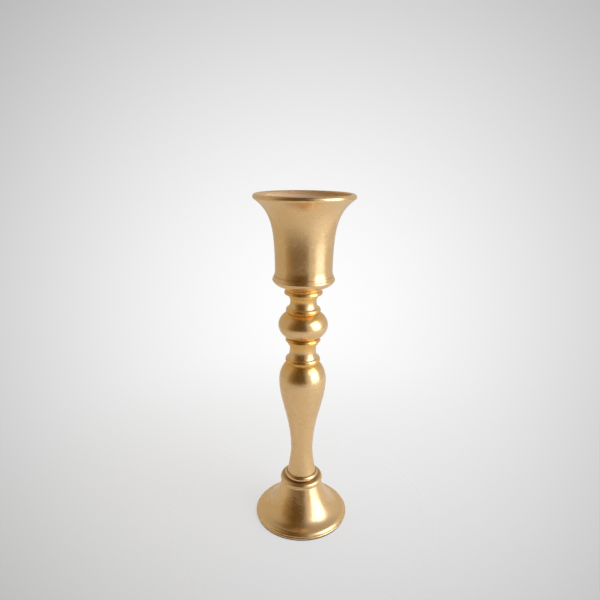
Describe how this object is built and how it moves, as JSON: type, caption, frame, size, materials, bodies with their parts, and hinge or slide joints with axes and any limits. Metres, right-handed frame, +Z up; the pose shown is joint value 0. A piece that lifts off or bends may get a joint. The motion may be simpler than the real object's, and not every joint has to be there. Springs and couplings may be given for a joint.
{
  "type": "altar candlestick",
  "caption": "Turned brass candlestick with a gold finish: a flared cup for a broad candle, over a ball knop, a baluster stem and a round trumpet foot.",
  "frame": {"origin": "middle of the underside, on the surface that the candlestick stands on", "axes": "+Z up along the tie rod; the piece is round about Z, so X and Y are free"},
  "size_m": [0.1, 0.1, 0.35],
  "materials": {
    "gilt_brass": "satin gold lacquer, lightly speckled",
    "steel": "zinc plated",
    "cast_iron": "rough, as cast",
    "felt": "pressed wool felt"
  },
  "bodies": {
    "root": {"felt_pad": "felt", "closing_plate": "steel", "foot_shell": "gilt_brass", "ballast": "cast_iron", "collar_lower": "gilt_brass", "collar_upper": "gilt_brass", "baluster": "gilt_brass", "lower_spool": "gilt_brass", "lower_ring": "gilt_brass", "knop": "gilt_brass", "upper_spool": "gilt_brass", "upper_ring": "gilt_brass", "cup_dish": "gilt_brass", "cup": "gilt_brass", "cup_washer": "steel", "cup_nut": "steel", "base_washer": "steel", "spring_washer": "steel", "base_nut": "steel", "tie_rod": "steel"}
  },
  "joints": []
}
